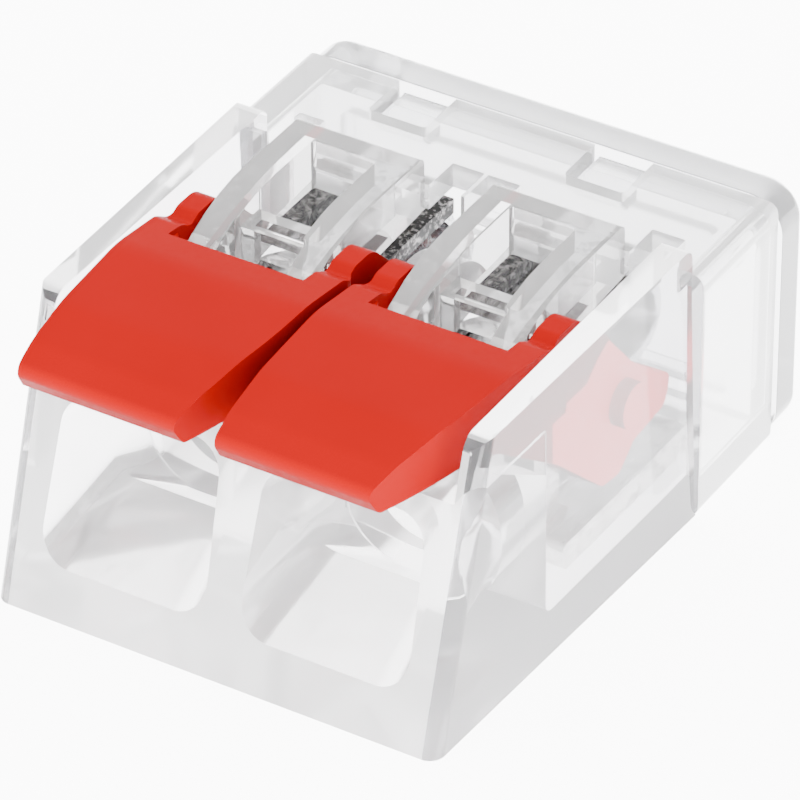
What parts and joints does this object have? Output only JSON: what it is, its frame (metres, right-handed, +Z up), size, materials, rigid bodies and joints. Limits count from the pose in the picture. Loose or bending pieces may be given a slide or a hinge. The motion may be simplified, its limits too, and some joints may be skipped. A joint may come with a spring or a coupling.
{
  "type": "lever wire connector",
  "caption": "Clear lever connector that splices stripped wire ends side by side: lifting a red lever opens the spring clamp in its way, closing it presses the wire onto a common busbar.",
  "frame": {"origin": "middle of the bounding box at the flat base", "axes": "+X across the ways to the right seen from the wire entries, +Y from the wire entries to the rear cover, +Z up through the levers"},
  "size_m": [0.0138, 0.0164, 0.0079],
  "materials": {
    "clear_housing": "clear polycarbonate, smooth",
    "clear_cover": "clear polycarbonate, smooth",
    "tinned_busbar": "stamped tinned copper",
    "red_lever": "satin moulded red",
    "spring_steel": "bent stainless strip"
  },
  "bodies": {
    "shell": {"housing": "clear_housing", "rear_cover": "clear_cover", "busbar": "tinned_busbar", "clamp_spring_left_leg": "spring_steel", "clamp_spring_right_leg": "spring_steel"},
    "left_lever": {"lever_left": "red_lever"},
    "right_lever": {"lever_right": "red_lever"},
    "left_tongue": {"clamp_spring_left_tongue": "spring_steel"},
    "right_tongue": {"clamp_spring_right_tongue": "spring_steel"}
  },
  "joints": [
    {"name": "left_lever_hinge", "type": "hinge", "parent": "shell", "child": "left_lever", "pos_m": [-0.0028, 0.0014, 0.0043], "axis": [-1, 0, 0], "range_deg": [0, 85]},
    {"name": "right_lever_hinge", "type": "hinge", "parent": "shell", "child": "right_lever", "pos_m": [0.0028, 0.0014, 0.0043], "axis": [-1, 0, 0], "range_deg": [0, 85]},
    {"name": "left_tongue_flex", "type": "hinge", "parent": "shell", "child": "left_tongue", "pos_m": [-0.0028, 0.0044, 0.00435], "axis": [-1, 0, 0], "range_deg": [0, 25]},
    {"name": "right_tongue_flex", "type": "hinge", "parent": "shell", "child": "right_tongue", "pos_m": [0.0028, 0.0044, 0.00435], "axis": [-1, 0, 0], "range_deg": [0, 25]}
  ],
  "couplings": [
    {"joint": "left_tongue_flex", "follows": "left_lever_hinge", "ratio": 0.294},
    {"joint": "right_tongue_flex", "follows": "right_lever_hinge", "ratio": 0.294}
  ]
}
